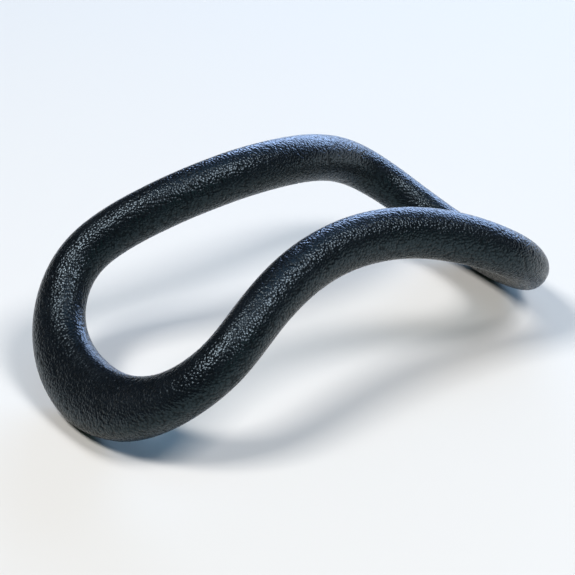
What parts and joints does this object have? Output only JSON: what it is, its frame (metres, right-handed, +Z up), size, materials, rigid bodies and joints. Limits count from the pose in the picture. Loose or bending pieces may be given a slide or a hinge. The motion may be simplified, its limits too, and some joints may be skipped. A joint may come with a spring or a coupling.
{
  "type": "stretch ring",
  "caption": "Closed, waisted loop of soft-skinned rail bent into a low arch, held or lain on to stretch the body.",
  "frame": {"origin": "middle of the footprint, on the surface that the ring's two ends stand on", "axes": "+X along the ring from end to end, +Y across it, +Z up through the top of the arch"},
  "size_m": [0.2356, 0.1292, 0.079],
  "materials": {
    "skin": "soft moulded skin with a pebbled leather grain, satin",
    "core": "moulded polypropylene, fine matt"
  },
  "bodies": {
    "root": {"skin_upper": "skin", "skin_lower": "skin", "core_shell_upper": "core", "core_shell_lower": "core"}
  },
  "joints": []
}
